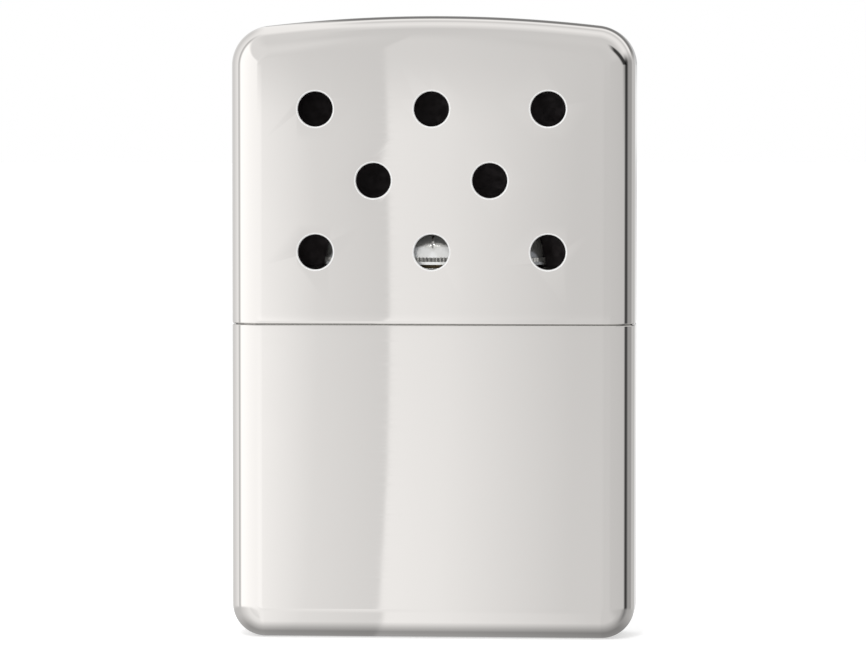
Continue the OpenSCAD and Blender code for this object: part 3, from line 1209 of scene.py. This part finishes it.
def front_light(tree, side, rise, lift):
    """What the flat faces mirror: the front of the room, darker from a line a little up and pale
    low on the left."""
    from_middle = add(tree, "ShaderNodeMath", {0: side, 1: BOW_MIDDLE}, operation="SUBTRACT")
    bow = within(tree, (rise, -3.5, -7.0), full=0.1)
    bowed = add(tree, "ShaderNodeMath", {0: from_middle, 1: bow, 2: side}, operation="MULTIPLY_ADD")
    panels = strip(tree, bowed, greys(FACE))
    front = add(tree, "ShaderNodeVectorMath", {0: panels, "Scale": lift}, operation="SCALE")
    front = laid_over(tree, front, grey(230), (rise, -6.9, -7.7), (side, -3.6, -4.8))
    return laid_over(tree, front, grey(200), (rise, -0.1, 1.0), full=0.65)


def low_light(tree, side, off, steep, lift, front, level):
    """Below the front, towards the table."""
    # The front's panels run on under the foot, without the outer part of the left one.
    outer = within(tree, (off, 40.0, 75.0), full=0.25)
    outer = add(tree, "ShaderNodeMath", {0: outer, 1: -6.65}, operation="ADD")
    kept = add(tree, "ShaderNodeMath", {0: side, 1: outer}, operation="MAXIMUM")
    foot = strip(tree, kept, greys(FACE))
    for share in (strip(tree, off, FALL), lift):
        foot = add(tree, "ShaderNodeVectorMath", {0: foot, "Scale": share}, operation="SCALE")
    beside = within(tree, (side, -10.0, -16.0), (off, 62.0, 44.0))
    for part in (within(tree, (steep, 60.0, 22.0)), within(tree, (off, 158.0, 168.0))):
        beside = add(tree, "ShaderNodeMath", {0: beside, 1: part}, operation="MAXIMUM")
    low = laid_over(tree, foot, level, full=beside)
    return laid_over(tree, front, low, (off, 8.0, 15.0))


def overhead_light(tree, off, front, stops):
    """A strip overhead that starts from the front's light."""
    return laid_over(tree, front, strip(tree, off, greys(stops)), (off, 8.0, 40.0))


def left_light(tree, off, steep, front, level):
    """Above on the left, where the panel narrows until only its outer part is left overhead."""
    inner = within(tree, (steep, 8.0, 60.0), full=75.0)
    inner = add(tree, "ShaderNodeMath", {0: inner, 1: 9.0}, operation="ADD")
    in_panel = add(tree, "ShaderNodeMath", {0: off, 1: inner}, operation="DIVIDE")
    panel = laid_over(tree, front, level, (in_panel, 0.85, 1.3))
    overhead = overhead_light(tree, off, front, OVER_LEFT)
    return laid_over(tree, panel, overhead, (steep, 50.0, 78.0))


def right_light(tree, way, side, rise, off, steep, front, level):
    """Above the front and on the right, where the flag takes light away."""
    overhead = overhead_light(tree, off, front, OVER)
    open_light = laid_over(tree, overhead, level, (steep, 28.0, 6.0))
    plane = add(tree, "ShaderNodeVectorMath", {0: way, 1: FLAG}, operation="DOT_PRODUCT")
    past = {0: plane.outputs["Value"], 1: FLAG_SHIFT}
    past = add(tree, "ShaderNodeMath", past, operation="ADD")
    past = add(tree, "ShaderNodeMath", {0: past}, operation="ABSOLUTE")
    edges = ((past, *FLAG_EDGE), (side, 18.0, 34.0), (rise, -1.0, 3.0))
    taken = within(tree, *edges, full=FLAG_SHADE)
    rest = add(tree, "ShaderNodeMath", {0: 1.0, 1: taken}, operation="SUBTRACT")
    return add(tree, "ShaderNodeVectorMath", {0: open_light, "Scale": rest}, operation="SCALE")


def studio_world():
    """A white room for the camera, with the panels' light for everything else."""
    world = bpy.data.worlds.new("studio")
    bpy.context.scene.world = world
    world.use_nodes = True
    tree = world.node_tree
    tree.nodes.clear()
    way = add(tree, "ShaderNodeTexCoord").outputs["Generated"]
    room = add(tree, "ShaderNodeBackground", {"Color": room_light(tree, way), "Strength": 1.0})
    backdrop = add(tree, "ShaderNodeBackground", {"Color": (1, 1, 1, 1), "Strength": 1.0})
    path = add(tree, "ShaderNodeLightPath")
    seen = add(
        tree,
        "ShaderNodeMixShader",
        {0: path.outputs["Is Camera Ray"], 1: room, 2: backdrop},
    )
    add(tree, "ShaderNodeOutputWorld", {"Surface": seen})


def pale_floor():
    """A matte white table. Polished metal looks through it to the room."""
    mesh = bpy.data.meshes.new("floor")
    bm = bmesh.new()
    bmesh.ops.create_circle(bm, cap_ends=True, segments=96, radius=FLOOR_RADIUS)
    bm.to_mesh(mesh)
    bm.free()
    floor = bpy.data.objects.new("floor", mesh)
    bpy.context.scene.collection.objects.link(floor)
    floor.location.z = CAD_LOW.z - FLOOR_DROP
    material = bpy.data.materials.new("white_table")
    material.use_nodes = True
    tree = material.node_tree
    tree.nodes.clear()
    matte = add(tree, "ShaderNodeBsdfDiffuse", {"Color": (0.85, 0.85, 0.85, 1)})
    glow = add(tree, "ShaderNodeEmission", {"Color": (1, 1, 1, 1), "Strength": 0.42})
    lit = add(tree, "ShaderNodeAddShader", {0: matte, 1: glow})
    clear = add(tree, "ShaderNodeBsdfTransparent")
    path = add(tree, "ShaderNodeLightPath")
    seen = add(
        tree,
        "ShaderNodeMixShader",
        {0: path.outputs["Is Camera Ray"], 1: matte, 2: lit},
    )
    through = add(
        tree,
        "ShaderNodeMixShader",
        {0: path.outputs["Is Glossy Ray"], 1: seen, 2: clear},
    )
    add(tree, "ShaderNodeOutputMaterial", {"Surface": through})
    mesh.materials.append(material)


def way_to(azimuth, elevation):
    """Direction from the object, from angles in radians."""
    return Vector(
        (
            math.sin(azimuth) * math.cos(elevation),
            -math.cos(azimuth) * math.cos(elevation),
            math.sin(elevation),
        )
    )


def soft_lamp(name, azimuth, elevation, size, power, in_metal, tint=(1, 1, 1)):
    """A square lamp that faces the object, from angles in degrees, size in metres and power in
    watts. It shows in metal or not."""
    data = bpy.data.lights.new(name, "AREA")
    data.shape = "SQUARE"
    data.size = size
    data.energy = power
    data.color = tint
    lamp = bpy.data.objects.new(name, data)
    bpy.context.scene.collection.objects.link(lamp)
    way = way_to(math.radians(azimuth), math.radians(elevation))
    lamp.location = (CAD_LOW + CAD_HIGH) / 2 + way * LAMP_DISTANCE
    lamp.rotation_euler = way.to_track_quat("Z", "Y").to_euler()
    lamp.visible_glossy = in_metal
    return lamp


def light_burner():
    """Lamps that shine through the vents onto the burner and the collar alone: a bright one in
    front, and a cool one from each side that metal doesn't mirror."""
    lit = bpy.data.collections.new("burner_lit")
    for name in (*NICKEL_NODES, "tank_collar"):
        lit.objects.link(NODES[name])
    rise, size, cool = 30, 0.06, (0.84, 0.89, 1.0)
    lamps = [soft_lamp("burner_lamp", 0, rise, size, power=1.4, in_metal=True)]
    for name, azimuth in (("burner_left", -32), ("burner_right", 32)):
        lamps.append(soft_lamp(name, azimuth, rise, size, power=6.0, in_metal=False, tint=cool))
    for lamp in lamps:
        lamp.light_linking.receiver_collection = lit


def photo_camera(s):
    """The photograph's camera."""
    data = bpy.data.cameras.new("camera")
    camera = bpy.data.objects.new("camera", data)
    bpy.context.scene.collection.objects.link(camera)
    data.lens = s.lens
    data.sensor_width = SENSOR_WIDTH
    image_height = SENSOR_WIDTH * IMAGE_HEIGHT / IMAGE_WIDTH
    distance = s.view_height * s.lens / image_height
    way = way_to(s.azimuth, s.elevation)
    camera.location = AIM + way * distance
    camera.rotation_euler = way.to_track_quat("Z", "Y").to_euler()
    data.clip_start = distance / 10
    data.clip_end = distance * 100
    bpy.context.scene.camera = camera


class WARMER_OT_studio(Operator):
    """Sets up floor, light and camera"""

    bl_idname = "warmer.studio"
    bl_label = "Studio"

    def execute(self, context):
        studio_world()
        pale_floor()
        soft_lamp("key_lamp", azimuth=-6, elevation=34, size=0.12, power=2.2, in_metal=False)
        photo_camera(context.scene.warmer_studio)
        context.scene.view_settings.view_transform = "Standard"
        return {"FINISHED"}


# ---------------------------------------------------------------- add-on


class WARMER_PT_panel(Panel):
    """Lists the steps that build the hand warmer"""

    bl_idname = "WARMER_PT_panel"
    bl_label = "Hand Warmer"
    bl_space_type = "VIEW_3D"
    bl_region_type = "UI"
    bl_category = "Hand Warmer"

    def draw(self, context):
        for group in SETTINGS:
            box = self.layout.box()
            settings = getattr(context.scene, group)
            for key in settings.__annotations__:
                box.prop(settings, key)
        for step in STEPS:
            self.layout.operator(step.bl_idname)


SETTINGS = {
    "warmer_case": WarmerCaseSettings,
    "warmer_burner": WarmerBurnerSettings,
    "warmer_finish": WarmerFinishSettings,
    "warmer_studio": WarmerStudioSettings,
}
STEPS = (WARMER_OT_case, WARMER_OT_collar, WARMER_OT_burner, WARMER_OT_studio)


def register():
    for group in SETTINGS.values():
        bpy.utils.register_class(group)
    for name, group in SETTINGS.items():
        setattr(bpy.types.Scene, name, PointerProperty(type=group))
    for step in (*STEPS, WARMER_PT_panel):
        bpy.utils.register_class(step)


def unregister():
    for step in (*STEPS, WARMER_PT_panel):
        bpy.utils.unregister_class(step)
    for name, group in SETTINGS.items():
        delattr(bpy.types.Scene, name)
        bpy.utils.unregister_class(group)


def main():
    register()
    bpy.ops.warmer.studio()
    bpy.ops.warmer.case()
    bpy.ops.warmer.collar()
    bpy.ops.warmer.burner()


if __name__ == "__main__":
    main()
